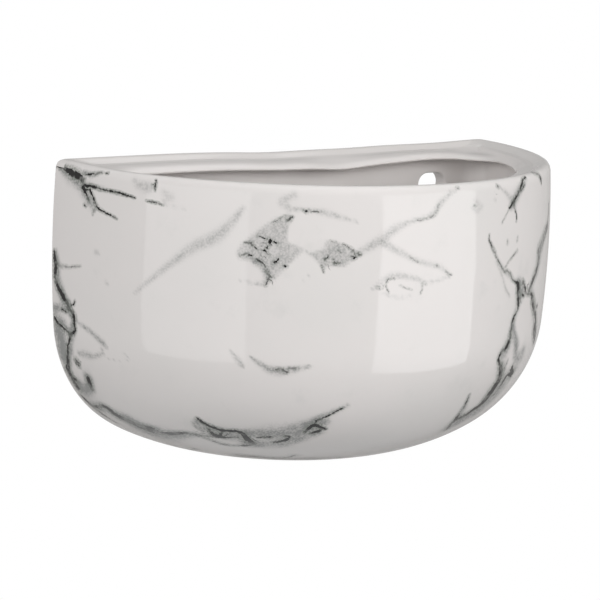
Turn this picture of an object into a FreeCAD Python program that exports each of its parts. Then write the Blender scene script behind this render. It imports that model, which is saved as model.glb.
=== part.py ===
"""Half-round ceramic wall planter with two hanging slots.

The bowl wall is a form of revolution, cut off flat just behind its upright
axis. A flat back wall with two hanging slots closes it, a lip that falls
towards the mouth is luted inside both, and a bare foot ring stands below.
The origin is midway between the hanging slots, on the wall plane; the planter
lies at -Y, with +Z up.
"""
import FreeCAD, Part
import math
import os

Vector = FreeCAD.Vector

# Outside of the bowl.
RIM_RADIUS = 100.4       # about the bowl's upright axis
AXIS_TO_WALL = 4.4       # the axis stands this far in front of the wall plane
BOWL_HEIGHT = 111.5      # crest of the rim to the flat of the base
BULGE = 1.1              # the belly stands out past the rim by this much
BULGE_DROP = 30.0        # crest down to the widest level
HAUNCH_RADIUS = 50.3     # tight turn between the side and the underside
HAUNCH_LIFT = 4.6        # the haunch's full circle would clear the base by this much
UNDERSIDE_RADIUS = 76.5  # shallow turn into the base

# Thickness of the fired and glazed clay.
BOWL_WALL = 6.5
BACK_WALL = 6.5
FLOOR = 6.5
HAUNCH_STEPS = 3         # straight steps that turn the inside of the haunch
UNDERSIDE_STEPS = 2

# Rim and lip.
CREST_ROUND = 2.2        # outer edge of the rim
CREST_LAND = 3.0         # level top of the rim, before it starts to fall
LIP_WIDTH = 15.0         # outside of the rim to the mouth, all the way round
LIP_FALL = 3.2           # crest down to the lip's nose
LIP_THICKNESS = 3.4      # at the nose
NOSE_BEVEL = 1.1         # lower edge of the nose
MOUTH_CORNER = 20.0      # corner of the mouth, seen from above

# Hanging slots.
SLOT_SPACING = 142.0
SLOT_LENGTH = 13.5       # end to end
SLOT_HEIGHT = 9.0
SLOT_DROP = 17.0         # crest down to the slots' centres

# Foot ring.
FOOT_MARGIN = 1.8        # inside the edge of the base's flat
FOOT_WIDTH = 4.5
FOOT_HEIGHT = 1.2
FOOT_SETBACK = 1.5       # in front of the wall plane

CREST = SLOT_DROP
BASE = CREST - BOWL_HEIGHT
SIDE_RADIUS = (BULGE_DROP ** 2 + BULGE ** 2) / (2 * BULGE)
LIP_UNDERSIDE = CREST - LIP_FALL - LIP_THICKNESS
REACH = 4 * (RIM_RADIUS + BOWL_HEIGHT)   # longer than the whole planter
AXIS_FOOT = Vector(0, -AXIS_TO_WALL, 0)
UP = Vector(0, 0, 1)
EPS = 1e-3


def block(y_near, y_far, z_low, z_high):
    """Wide block between two distances in front of the wall plane and two levels."""
    return Part.makeBox(REACH, y_far - y_near, z_high - z_low, Vector(-REACH / 2, -y_far, z_low))


def in_section(radius, height):
    """Point of the bowl's section, which is drawn in the plane square to the wall."""
    return Vector(0, radius - AXIS_TO_WALL, height)


def line(start, end):
    return Part.LineSegment(in_section(*start), in_section(*end)).toShape()


def on_circle(centre, radius, angle):
    return centre[0] + radius * math.cos(angle), centre[1] + radius * math.sin(angle)


def arc(centre, radius, start, end):
    points = [in_section(*on_circle(centre, radius, angle)) for angle in (start, (start + end) / 2, end)]
    return Part.Arc(*points).toShape()


def direction(tail, head):
    return math.atan2(head[1] - tail[1], head[0] - tail[0])


def turned(edges):
    """Solid of revolution about the bowl's axis."""
    return Part.Face(Part.Wire(edges)).revolve(AXIS_FOOT, UP, 360)


def side_centre():
    """Centre of the side's long arc, whose widest point is the bulge."""
    return RIM_RADIUS + BULGE - SIDE_RADIUS, CREST - BULGE_DROP


def touching_side(radius, height):
    """Centre, at a given height, of a circle that touches the side's arc from within."""
    side = side_centre()
    return side[0] + math.sqrt((SIDE_RADIUS - radius) ** 2 - (height - side[1]) ** 2), height


def haunch_centre():
    return touching_side(HAUNCH_RADIUS, BASE + HAUNCH_LIFT + HAUNCH_RADIUS)


def underside_centre():
    """Centre of the arc that holds the haunch within it and touches the base."""
    gap = UNDERSIDE_RADIUS - HAUNCH_RADIUS
    return haunch_centre()[0] - math.sqrt(gap ** 2 - (gap - HAUNCH_LIFT) ** 2), BASE + UNDERSIDE_RADIUS


def outer_form():
    """The whole bowl as a solid, its rim rounded."""
    side, haunch, under = side_centre(), haunch_centre(), underside_centre()
    rim = touching_side(CREST_ROUND, CREST - CREST_ROUND)
    return turned([
        arc(rim, CREST_ROUND, math.pi / 2, direction(side, rim)),
        arc(side, SIDE_RADIUS, direction(side, rim), direction(side, haunch)),
        arc(haunch, HAUNCH_RADIUS, direction(side, haunch), direction(under, haunch)),
        arc(under, UNDERSIDE_RADIUS, direction(under, haunch), -math.pi / 2),
        line((under[0], BASE), (0, BASE)),
        line((0, BASE), (0, CREST)),
        line((0, CREST), (rim[0], CREST)),
    ])


def chords(centre, radius, start, end, count):
    """Straight steps along a turn. They keep the clay at least as thick as the wall."""
    angles = [start + (end - start) * i / count for i in range(count + 1)]
    stops = [on_circle(centre, radius, angle) for angle in angles]
    return [line(*pair) for pair in zip(stops, stops[1:])]


def inner_form():
    """The room inside the bowl wall: an upright side, then the outside's turns in steps."""
    radius = RIM_RADIUS - BOWL_WALL
    haunch_radius = HAUNCH_RADIUS - BOWL_WALL
    under_radius = UNDERSIDE_RADIUS - FLOOR
    under = underside_centre()
    haunch_r = radius - haunch_radius
    rise = math.sqrt((under_radius - haunch_radius) ** 2 - (haunch_r - under[0]) ** 2)
    haunch = (haunch_r, under[1] - rise)
    lower = direction(under, haunch)
    return turned([
        line((radius, CREST), (radius, haunch[1])),
        *chords(haunch, haunch_radius, 0, lower, HAUNCH_STEPS),
        *chords(under, under_radius, lower, -math.pi / 2, UNDERSIDE_STEPS),
        line((under[0], BASE + FLOOR), (0, BASE + FLOOR)),
        line((0, BASE + FLOOR), (0, CREST)),
        line((0, CREST), (radius, CREST)),
    ])


def mouth_outline(height):
    """The mouth, D-shaped, parallel to the rim and rounded at both corners."""
    radius = RIM_RADIUS - LIP_WIDTH
    corner_y = -LIP_WIDTH - MOUTH_CORNER
    corner_x = math.sqrt((radius - MOUTH_CORNER) ** 2 - (corner_y + AXIS_TO_WALL) ** 2)
    lean = math.atan2(corner_y + AXIS_TO_WALL, corner_x)
    middle = (lean + math.pi / 2) / 2

    def bowl_end(side):
        return Vector(side * radius * math.cos(lean), radius * math.sin(lean) - AXIS_TO_WALL, height)

    def corner_middle(side):
        return Vector(side * (corner_x + MOUTH_CORNER * math.cos(middle)),
                      corner_y + MOUTH_CORNER * math.sin(middle), height)

    back_left, back_right = (Vector(side * corner_x, -LIP_WIDTH, height) for side in (-1, 1))
    front = Vector(0, -AXIS_TO_WALL - radius, height)
    return Part.Wire([
        Part.LineSegment(back_left, back_right).toShape(),
        Part.Arc(back_right, corner_middle(1), bowl_end(1)).toShape(),
        Part.Arc(bowl_end(1), front, bowl_end(-1)).toShape(),
        Part.Arc(bowl_end(-1), corner_middle(-1), back_left).toShape(),
    ])


def dish():
    """What is taken off the top so that rim and lip fall towards the mouth.

    The fall is a cone round the bowl's side and a plane along the back, which
    meet in a mitre at each corner. Both run on past the mouth.
    """
    slope = LIP_FALL / (LIP_WIDTH - CREST_LAND)
    run = RIM_RADIUS - CREST_LAND
    cone = turned([line((0, CREST), (run, CREST)), line((run, CREST), (0, CREST - slope * run)),
                   line((0, CREST - slope * run), (0, CREST))])
    corners = [Vector(-REACH / 2, -CREST_LAND, CREST), Vector(-REACH / 2, -CREST_LAND - run, CREST),
               Vector(-REACH / 2, -CREST_LAND - run, CREST - slope * run)]
    wedge = Part.Face(Part.makePolygon(corners + corners[:1])).extrude(Vector(REACH, 0, 0))
    return cone.common(wedge)


def bowl_wall():
    front = block(BACK_WALL, REACH, BASE, CREST)
    return outer_form().common(front).cut(inner_form()).cut(dish())


def slot(middle):
    """Long hole with round ends, through the back wall."""
    radius = SLOT_HEIGHT / 2
    half_straight = SLOT_LENGTH / 2 - radius
    corners = [Vector(middle + x * half_straight, 0, z * radius)
               for x, z in ((-1, -1), (1, -1), (1, 1), (-1, 1))]
    right = Vector(middle + SLOT_LENGTH / 2, 0, 0)
    left = Vector(middle - SLOT_LENGTH / 2, 0, 0)
    outline = Part.Wire([
        Part.LineSegment(corners[0], corners[1]).toShape(),
        Part.Arc(corners[1], right, corners[2]).toShape(),
        Part.LineSegment(corners[2], corners[3]).toShape(),
        Part.Arc(corners[3], left, corners[0]).toShape(),
    ])
    return Part.Face(outline).extrude(Vector(0, -BACK_WALL, 0))


def back_wall():
    slab = block(0, BACK_WALL, BASE, CREST)
    back_edges = [edge for edge in slab.Edges
                  if edge.BoundBox.YMin > -EPS and edge.BoundBox.ZMin > CREST - EPS]
    slab = slab.makeFillet(CREST_ROUND, back_edges).common(outer_form())
    return slab.cut([dish(), slot(-SLOT_SPACING / 2), slot(SLOT_SPACING / 2)])


def lip():
    blank = Part.makeCylinder(RIM_RADIUS - BOWL_WALL, CREST - LIP_UNDERSIDE,
                              Vector(0, -AXIS_TO_WALL, LIP_UNDERSIDE))
    blank = blank.common(block(BACK_WALL, REACH, LIP_UNDERSIDE, CREST))
    opening = Part.Face(mouth_outline(LIP_UNDERSIDE)).extrude(Vector(0, 0, CREST - LIP_UNDERSIDE))
    ring = blank.cut(opening)
    lower_edges = [edge for edge in ring.Edges if edge.BoundBox.ZMax < LIP_UNDERSIDE + EPS
                   and edge.BoundBox.XLength < 2 * (RIM_RADIUS - BOWL_WALL) - 1
                   and edge.BoundBox.YMax < -LIP_WIDTH + EPS]
    return ring.makeChamfer(NOSE_BEVEL, lower_edges).cut(dish())


def foot_ring():
    """D-shaped ring under the flat of the base."""
    bottom = BASE - FOOT_HEIGHT

    def half_disc(inset):
        radius = underside_centre()[0] - FOOT_MARGIN - inset
        disc = Part.makeCylinder(radius, FOOT_HEIGHT, Vector(0, -AXIS_TO_WALL, bottom))
        return disc.common(block(FOOT_SETBACK + inset, REACH, bottom, BASE))

    return half_disc(0).cut(half_disc(FOOT_WIDTH))


def main():
    parts = {
        "bowl_wall": bowl_wall(),
        "back_wall": back_wall(),
        "lip": lip(),
        "foot_ring": foot_ring(),
    }
    os.makedirs("parts", exist_ok=True)
    for node, shape in parts.items():
        print(node, "solids", len(shape.Solids), "volume", round(shape.Volume, 1), "valid", shape.isValid())
        shape.exportStep("parts/" + node + ".step")


main()
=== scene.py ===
"""Looks of a half-round marbled wall planter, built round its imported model.

Lengths in the shape tables are millimetres in the row's own frame: +Z up, the
wall at y = 0, the planter in front of it at -Y, level 0 midway between the
hanging slots.
"""
import math
import random

import bmesh
import bpy
import numpy as np
from mathutils import Matrix, Vector
from mathutils.geometry import delaunay_2d_cdt
from mathutils.kdtree import KDTree


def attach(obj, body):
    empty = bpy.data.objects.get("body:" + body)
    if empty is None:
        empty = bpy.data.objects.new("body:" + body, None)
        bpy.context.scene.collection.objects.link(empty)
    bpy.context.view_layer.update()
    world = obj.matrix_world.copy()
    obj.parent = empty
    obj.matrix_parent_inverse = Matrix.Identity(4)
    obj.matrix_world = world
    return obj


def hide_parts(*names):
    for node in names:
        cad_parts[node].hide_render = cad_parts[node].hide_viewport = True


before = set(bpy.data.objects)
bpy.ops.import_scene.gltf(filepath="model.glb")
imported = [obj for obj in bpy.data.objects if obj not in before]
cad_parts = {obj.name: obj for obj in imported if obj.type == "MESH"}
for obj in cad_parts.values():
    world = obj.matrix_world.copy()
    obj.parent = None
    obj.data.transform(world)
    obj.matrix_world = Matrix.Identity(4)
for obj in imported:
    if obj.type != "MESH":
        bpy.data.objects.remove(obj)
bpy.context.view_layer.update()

MM = 0.001

# ---------------------------------------------------------------- shape
AXIS_Y = -4.4            # the bowl's upright axis stands in front of the wall
CREST = 17.0
BASE = -94.5
RIM_RADIUS = 100.4
BULGE = 1.1              # how much wider the side is than the rim
BULGE_DROP = 30.0        # crest down to the widest level
SIDE_RADIUS = (BULGE_DROP ** 2 + BULGE ** 2) / (2 * BULGE)
HAUNCH_RADIUS = 50.3
HAUNCH_LIFT = 4.6
UNDERSIDE_RADIUS = 76.5
WALL = 6.5
LIP_WIDTH = 15.0
LIP_UNDERSIDE = 11.05
MOUTH_CORNER = 14.5
BACK_EDGE_ROUND = 1.3    # upright edges where the side meets the back
SLOT_SPACING = 142.0
SLOT_LENGTH = 13.5
SLOT_HEIGHT = 9.0
SLOT_EDGE_ROUND = 0.9
SLOT_APRON = 0.35        # flat ring round a slot's rounded edge
FOOT_MARGIN = 1.8
FOOT_WIDTH = 4.5
FOOT_HEIGHT = 1.2
FOOT_SETBACK = 1.5
FOOT_CORNER = 3.0
FOOT_EDGE_ROUND = 0.5
FOOT_BEDDING = 0.5       # how far the foot goes up into the base
FOOT_LEVEL = BASE + (FOOT_BEDDING - FOOT_HEIGHT) / 2

# Top of the rim and lip: distance in from the outside, and drop below the crest.
LIP_SECTION = [
    (0.0, 2.6), (0.35, 1.35), (0.95, 0.52), (1.7, 0.1), (2.6, 0.0), (3.6, 0.22), (4.6, 0.78),
    (5.6, 1.4), (6.5, 1.86), (7.4, 2.12), (8.4, 2.26), (9.4, 2.36), (10.4, 2.5), (11.4, 2.72),
    (12.4, 2.98), (13.3, 3.34), (14.1, 3.85), (14.7, 4.45), (15.0, 5.0), (14.85, 5.45), (14.3, 5.8),
    (13.3, 5.95),
]
SEAM_INDEX = 8           # the row of LIP_SECTION where the lip is luted to the walls

# How finely the form is stepped: down the outside and the hollow (side, haunch, underside), over the flats,
# and along one half row.
OUTSIDE_STEPS = (62, 56, 34)
HOLLOW_STEPS = (14, 24, 14)
BASE_STEPS, FLOOR_STEPS = 14, 10
LINE_POINTS, CORNER_POINTS, ARC_POINTS = 30, 40, 400
BACK_LINE, BACK_TURN, BACK_SIDE, FRONT_SHOULDER, FRONT_ARC = 44, 10, 4, 10, 170
SHOULDER_LENGTH = 3.0


def side_centre():
    return RIM_RADIUS + BULGE - SIDE_RADIUS, CREST - BULGE_DROP


def haunch_centre():
    level = BASE + HAUNCH_LIFT + HAUNCH_RADIUS
    r, z = side_centre()
    return r + math.sqrt((SIDE_RADIUS - HAUNCH_RADIUS) ** 2 - (level - z) ** 2), level


def underside_centre():
    gap = UNDERSIDE_RADIUS - HAUNCH_RADIUS
    r, _ = haunch_centre()
    return r - math.sqrt(gap ** 2 - (gap - HAUNCH_LIFT) ** 2), BASE + UNDERSIDE_RADIUS


def bearing(tail, head):
    return math.atan2(head[1] - tail[1], head[0] - tail[0])


def arc_stations(centre, radius, start, end, count):
    """(r, z, outward r, outward z) along an arc of the section, its end left out."""
    angles = [start + (end - start) * i / count for i in range(count)]
    r, z = centre
    return [(r + radius * math.cos(a), z + radius * math.sin(a), math.cos(a), math.sin(a)) for a in angles]


def outside_stations():
    """The outside's section from just under the rim's round down to the edge of the base's flat."""
    side, haunch, under = side_centre(), haunch_centre(), underside_centre()
    top = math.asin((CREST - LIP_SECTION[0][1] - side[1]) / SIDE_RADIUS)
    turn, foot_turn = bearing(side, haunch), bearing(under, haunch)
    on_side, on_haunch, on_underside = OUTSIDE_STEPS
    return (arc_stations(side, SIDE_RADIUS, top, turn, on_side)
            + arc_stations(haunch, HAUNCH_RADIUS, turn, foot_turn, on_haunch)
            + arc_stations(under, UNDERSIDE_RADIUS, foot_turn, -math.pi / 2, on_underside)
            + [(under[0], BASE, 0.0, -1.0)])


def inside_stations():
    """The hollow's section from under the lip down to the edge of the floor's flat."""
    radius = RIM_RADIUS - WALL
    haunch_radius, under_radius = HAUNCH_RADIUS - WALL, UNDERSIDE_RADIUS - WALL
    under = underside_centre()
    haunch_r = radius - haunch_radius
    rise = math.sqrt((under_radius - haunch_radius) ** 2 - (haunch_r - under[0]) ** 2)
    haunch = (haunch_r, under[1] - rise)
    lower = bearing(under, haunch)
    on_side, on_haunch, on_underside = HOLLOW_STEPS
    fall = haunch[1] - LIP_UNDERSIDE
    upright = [(radius, LIP_UNDERSIDE + fall * i / on_side, 1.0, 0.0) for i in range(on_side)]
    return (upright + arc_stations(haunch, haunch_radius, 0.0, lower, on_haunch)
            + arc_stations(under, under_radius, lower, -math.pi / 2, on_underside)
            + [(under[0], BASE + WALL, 0.0, -1.0)])


def half_outline(radius, back_y, corner, level, out_r=1.0, out_z=0.0):
    """Right half of one D-shaped row of the form, from the middle of the back to the front.

    The corner is a round of the given radius; its inward step follows the
    section's own outward direction, so it stays round under the bowl too.
    Returns the points and the index of the corner's start and end.
    """
    phi = np.linspace(math.pi / 2, 0, CORNER_POINTS)
    step = corner * (1 - np.cos(phi))
    y = back_y - corner * (1 - np.sin(phi))
    x = np.sqrt(np.maximum((radius - step * out_r) ** 2 - (y - AXIS_Y) ** 2, 0))
    z = level - step * out_z
    turn = np.column_stack([x, y, z])
    line = np.column_stack([np.linspace(0, x[0], LINE_POINTS), np.full(LINE_POINTS, back_y),
                            np.full(LINE_POINTS, z[0])])[:-1]
    start = math.atan2(x[-1], -(y[-1] - AXIS_Y))
    angles = np.linspace(start, 0, ARC_POINTS)[1:]
    arc = np.column_stack([radius * np.sin(angles), AXIS_Y - radius * np.cos(angles),
                           np.full(len(angles), level)])
    arc[-1] = (0, AXIS_Y - radius, level)
    return np.vstack([line, turn, arc]), len(line), len(line) + len(turn) - 1


def run_of(points):
    return np.concatenate([[0], np.cumsum(np.linalg.norm(np.diff(points, axis=0), axis=1))])


def sample(points, run, low, high, count, ends=True):
    """Points evenly spaced between two distances along a polyline."""
    at = np.linspace(low, high, count + 1)
    if not ends:
        at = at[:-1]
    return np.column_stack([np.interp(at, run, points[:, k]) for k in range(3)])


def row_parts(radius, back_y, corner, level, out_r=1.0, out_z=0.0):
    """One row as evenly spaced runs: back line, back corner, side strip, shoulder and front."""
    points, turn_start, turn_end = half_outline(radius, back_y, corner, level, out_r, out_z)
    run = run_of(points)
    a, b = run[turn_start], run[turn_end]
    cut = a
    if back_y > -WALL:
        after = np.argmax(points[:, 1] <= -WALL + 1e-9)
        y0, y1 = points[after - 1, 1], points[after, 1]
        cut = run[after - 1] + (run[after] - run[after - 1]) * (y0 + WALL) / (y0 - y1)
    b = min(b, cut)
    shoulder = max(run[turn_end], cut + SHOULDER_LENGTH)
    back = np.vstack([sample(points, run, 0, a, BACK_LINE, False),
                      sample(points, run, a, b, BACK_TURN, False),
                      sample(points, run, b, cut, BACK_SIDE)])
    front = np.vstack([sample(points, run, cut, shoulder, FRONT_SHOULDER, False),
                       sample(points, run, shoulder, run[-1], FRONT_ARC)])
    if back_y > -WALL - 1e-9:
        back[-1, 1] = front[0, 1] = -WALL
    return back, front


def both_halves(half):
    """Right half (back to front) and its mirror image, as one run from left to right, front half shared."""
    left = half[:-1].copy()
    left[:, 0] *= -1
    return np.vstack([left, half[::-1]])


def shrunk_rows(row, count, level):
    """Rows from a flat's edge to its middle: the shoulder narrows at its own y, and the rest stays round."""
    end = FRONT_SHOULDER
    rows = []
    for k in range(1, count + 1):
        share = 1 - k / count
        new = row.copy()
        new[:end + 1, 0] = row[:end + 1, 0] * share
        y_s, x_s = row[end, 1], row[end, 0] * share
        radius = math.hypot(x_s, y_s - AXIS_Y)
        start = math.atan2(x_s, -(y_s - AXIS_Y))
        angles = np.linspace(start, 0, len(row) - end)
        new[end:, 0] = radius * np.sin(angles)
        new[end:, 1] = AXIS_Y - radius * np.cos(angles)
        new[end:, 2] = level
        rows.append(new)
    return rows


# ---------------------------------------------------------------- kiln warp
def bump(x, middle, width):
    return np.exp(-((x - middle) / width) ** 2)


def eased(x):
    x = np.clip(x, 0, 1)
    return x * x * (3 - 2 * x)


# How far the crest over the back wall sank in the kiln: place along the wall, drop.
SAG = [(-105, 0), (-57, 0), (-42, 0.13), (-27, 0.52), (-12, 1.31), (-3, 1.42), (7, 1.26), (17, 1.25),
       (27, 1.32), (37, 1.19), (47, 0.95), (60, 0.95), (72, 1.0), (82, 0.82), (92, 0.42), (105, 0.3)]
FRONT_SAG = 0.5
# Slight waves along the back lip's nose: depth, middle and width of each.
NOSE_WAVES = [(1.35, 19, 13), (-0.8, 62, 13), (-0.3, -46, 26), (1.5, 88, 11)]
SIDE_EASE = 4.0            # how far the lip's nose is pushed aside at the two ends of the mouth


def sag_curve():
    """The sag table smoothed to a flowing line on a fine grid."""
    places, drops = zip(*SAG)
    grid = np.linspace(-105, 105, 421)
    weights = bump(np.linspace(-12, 12, 49), 0, 6.5)
    padded = np.pad(np.interp(grid, places, drops), 24, mode="edge")
    return grid, np.convolve(padded, weights / weights.sum(), mode="valid")


def warped(points):
    """The fired piece: its crest sagged, its lip a little wavy. Nothing moves at the slots or below."""
    p = points.copy()
    x, y, z = p.T
    near_top = eased((z - 5.0) / 8.0)
    near_back = eased((y + 40.0) / 30.0)
    grid, drops = sag_curve()
    sag = np.interp(x, grid, drops)
    inset = np.minimum(rim_outer_radius() - np.hypot(x, y - AXIS_Y), -y)
    nose = eased((inset - 6.0) / 8.5) * near_back
    dip = sum(depth * bump(x, middle, width) for depth, middle, width in NOSE_WAVES)
    p[:, 2] -= near_top * (near_back * (sag + nose * dip) + (1 - near_back) * FRONT_SAG)
    aside = near_top * eased((inset - 7.0) / 8.0) * eased((np.abs(x) - 42.0) / 42.0)
    p[:, 0] += np.sign(x) * aside * SIDE_EASE
    return p


# ---------------------------------------------------------------- mesh making
class Sheet:
    """Grows one closed mesh from rows of points."""

    def __init__(self):
        self.points, self.faces, self.tags = [], [], []

    def add(self, points):
        start = len(self.points)
        self.points.extend(map(tuple, points))
        return list(range(start, len(self.points)))

    def bridge(self, upper, lower, tag=0, flip=False):
        for a, b, c, d in zip(upper, upper[1:], lower[1:], lower):
            ring = []
            for v in (a, b, c, d):
                if v not in ring:
                    ring.append(v)
            if len(ring) > 2:
                self.faces.append(tuple(reversed(ring)) if flip else tuple(ring))
                self.tags.append(tag)

    def loft(self, rows, tag=0, flip=False):
        ids = [self.add(row) for row in rows]
        for upper, lower in zip(ids, ids[1:]):
            self.bridge(upper, lower, tag, flip)
        return ids

    def flat(self, loops, tag=0, facing=-1):
        """Fills between loops of point indices in an upright plane. The first loop is the outer one."""
        def seen(loop):
            return [Vector((self.points[v][0], self.points[v][2])) for v in loop]

        ids = [v for loop in loops for v in loop]
        edges, start = [], 0
        for loop in loops:
            n = len(loop)
            edges += [(start + i, start + (i + 1) % n) for i in range(n)]
            start += n
        verts, _, tris, source, _, _ = delaunay_2d_cdt(seen(ids), edges, [], 1, 1e-7)
        back_to = {i: ids[s[0]] for i, s in enumerate(source) if s}
        outer, *holes = (seen(loop) for loop in loops)
        for tri in tris:
            middle = sum((verts[i] for i in tri), Vector((0, 0))) / 3
            if not within(middle, outer) or any(within(middle, hole) for hole in holes):
                continue
            face = [back_to[i] for i in tri]
            a, b, c = (Vector(self.points[v]) for v in face)
            if (b - a).cross(c - a).y * facing < 0:
                face.reverse()
            self.faces.append(tuple(face))
            self.tags.append(tag)


def within(point, loop):
    inside = False
    for a, b in zip(loop, loop[1:] + loop[:1]):
        if (a.y > point.y) != (b.y > point.y):
            if point.x < (b.x - a.x) * (point.y - a.y) / (b.y - a.y) + a.x:
                inside = not inside
    return inside


def placed(name, data):
    """A new object in the scene, at the origin."""
    obj = bpy.data.objects.new(name, data)
    bpy.context.scene.collection.objects.link(obj)
    return obj


SHARP_EDGE = 32.0          # degrees between faces from which an edge isn't shaded smooth
MERGE = 2e-6               # metres


def make_piece(name, sheet, materials):
    mesh = bpy.data.meshes.new(name)
    points = warped(np.array(sheet.points)) * MM
    mesh.from_pydata(points.tolist(), [], sheet.faces)
    for material in materials:
        mesh.materials.append(material)
    mesh.polygons.foreach_set("material_index", np.array(sheet.tags, dtype=np.int32))
    mesh.update()
    bm = bmesh.new()
    bm.from_mesh(mesh)
    bmesh.ops.remove_doubles(bm, verts=bm.verts, dist=MERGE)
    bmesh.ops.dissolve_degenerate(bm, edges=bm.edges, dist=MERGE / 2)
    bmesh.ops.recalc_face_normals(bm, faces=bm.faces)
    for edge in bm.edges:
        if len(edge.link_faces) == 2:
            edge.smooth = math.degrees(edge.calc_face_angle(0)) < SHARP_EDGE
    bm.to_mesh(mesh)
    bm.free()
    mesh.polygons.foreach_set("use_smooth", [True] * len(mesh.polygons))
    mesh.update()
    return placed(name, mesh)


def rim_rows():
    """Rows over the rim and lip, outermost first: (radius, distance of the back line, corner, level)."""
    rows = []
    for index, (inset, drop) in enumerate(LIP_SECTION):
        share = inset / LIP_WIDTH
        corner = BACK_EDGE_ROUND + (MOUTH_CORNER - BACK_EDGE_ROUND) * eased(np.array(share)) ** 0.8
        rows.append((rim_outer_radius() - inset, -inset, float(corner), CREST - drop))
    return rows


def rim_outer_radius():
    side = side_centre()
    level = CREST - LIP_SECTION[0][1]
    return side[0] + math.sqrt(SIDE_RADIUS ** 2 - (level - side[1]) ** 2)


def seam_outline():
    radius, back_y, corner, _ = rim_rows()[SEAM_INDEX]
    return radius, back_y, corner


def bowl_wall(materials):
    sheet = Sheet()
    rim = rim_rows()
    outer = [both_halves(row_parts(*row)[1]) for row in reversed(rim[1:SEAM_INDEX + 1])]
    stations = outside_stations()
    half_rows = [row_parts(r, 0.0, BACK_EDGE_ROUND, z, nr, nz)[1] for r, z, nr, nz in stations]
    half_rows += shrunk_rows(half_rows[-1], BASE_STEPS, BASE)
    outer += [both_halves(half) for half in half_rows]
    outer_ids = sheet.loft(outer)
    seam_radius, seam_back, seam_corner = seam_outline()
    inner_half = [row_parts(r if nr < 1 else seam_radius, seam_back, seam_corner, z, nr, nz)[1]
                  for r, z, nr, nz in inside_stations()]
    inner_half += shrunk_rows(inner_half[-1], FLOOR_STEPS, BASE + WALL)
    inner_ids = sheet.loft([both_halves(half) for half in inner_half], tag=1, flip=True)
    sheet.bridge(inner_ids[0], outer_ids[0], tag=1)
    # Joint faces against the back wall.
    outline = [row[0] for row in outer_ids] + [row[-1] for row in reversed(outer_ids[:-1])]
    inside = [row[0] for row in inner_ids] + [row[-1] for row in reversed(inner_ids[:-1])]
    sheet.flat([outline + inside[::-1]], tag=1, facing=1)
    return make_piece("bowl_wall_glazed", sheet, materials)


def slot_loop(middle, spread, y, count=22):
    """A ring of a hanging slot's outline, wider by spread, at one depth."""
    radius = SLOT_HEIGHT / 2
    half_straight = SLOT_LENGTH / 2 - radius
    ring = []
    for side in (1, -1):
        for i in range(count):
            angle = -math.pi / 2 + math.pi * i / (count - 1)
            ring.append((middle + side * (half_straight + (radius + spread) * math.cos(angle)), y,
                         side * (radius + spread) * math.sin(angle)))
    return ring


def slot_rings(middle):
    """Rings from the back wall's front face to its back face, with both edges rounded."""
    rings = []
    for face_y, into in ((-WALL, 1), (0.0, -1)):
        turn = [slot_loop(middle, SLOT_EDGE_ROUND + SLOT_APRON, face_y)]
        for i in range(7):
            angle = math.pi / 2 * i / 6
            turn.append(slot_loop(middle, SLOT_EDGE_ROUND * (1 - math.sin(angle)),
                                  face_y + into * SLOT_EDGE_ROUND * (1 - math.cos(angle))))
        rings.append(turn)
    return rings[0] + rings[1][::-1]


def back_wall(materials):
    sheet = Sheet()
    rim = rim_rows()
    # Over the top edge, whole width: side strip, corner and back line, right to left.
    def whole(back):
        left = back[1:].copy()
        left[:, 0] *= -1
        return np.vstack([back[::-1], left])

    top = [whole(row_parts(*row)[0]) for row in reversed(rim[1:SEAM_INDEX + 1])]
    top_ids = sheet.loft(top, tag=1, flip=True)
    # Down both sides and across the base, without the back line.
    stations = outside_stations()
    backs = [row_parts(r, 0.0, BACK_EDGE_ROUND, z, nr, nz)[0] for r, z, nr, nz in stations]
    strips = [back[BACK_LINE:] for back in backs]
    cols = strips[0].shape[0]
    for k in range(1, BASE_STEPS + 1):
        new = strips[len(stations) - 1].copy()
        new[:, 0] *= 1 - k / BASE_STEPS
        strips.append(new)
    right_ids = sheet.loft([strip[::-1] for strip in strips], tag=0, flip=True)
    mirrored = [strip * np.array([-1, 1, 1]) for strip in strips]
    left_ids = sheet.loft(mirrored, tag=0, flip=True)
    # Top edge's last row down to the back face's first row.
    first = whole(backs[0])
    first_ids = sheet.add(first)
    sheet.bridge(top_ids[-1], first_ids, tag=1, flip=True)
    back_loop = (first_ids[cols - 1:len(first_ids) - cols + 1]
                 + [row[0] for row in left_ids[1:]]
                 + [row[-1] for row in reversed(right_ids[1:-1])])
    slots = {side: [sheet.add(ring) for ring in slot_rings(side * SLOT_SPACING / 2)] for side in (-1, 1)}
    for rings in slots.values():
        for a, b in zip(rings, rings[1:]):
            sheet.bridge(a + a[:1], b + b[:1], tag=1)
    sheet.flat([back_loop] + [slots[side][-1] for side in (-1, 1)], tag=1, facing=1)
    # The joint face runs along the seam row, over the ends of the rounded rows and down the side strips.
    front_loop = (top_ids[0] + [row[-1] for row in top_ids[1:] + left_ids]
                  + [row[0] for row in reversed(top_ids[1:] + right_ids[:-1])])
    tidy, seen = [], set()
    for v in front_loop:
        key = tuple(round(c, 4) for c in sheet.points[v])
        if key not in seen:
            seen.add(key)
            tidy.append(v)
    sheet.flat([tidy] + [slots[side][0] for side in (-1, 1)], tag=1, facing=-1)
    return make_piece("back_wall_glazed", sheet, materials)


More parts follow.
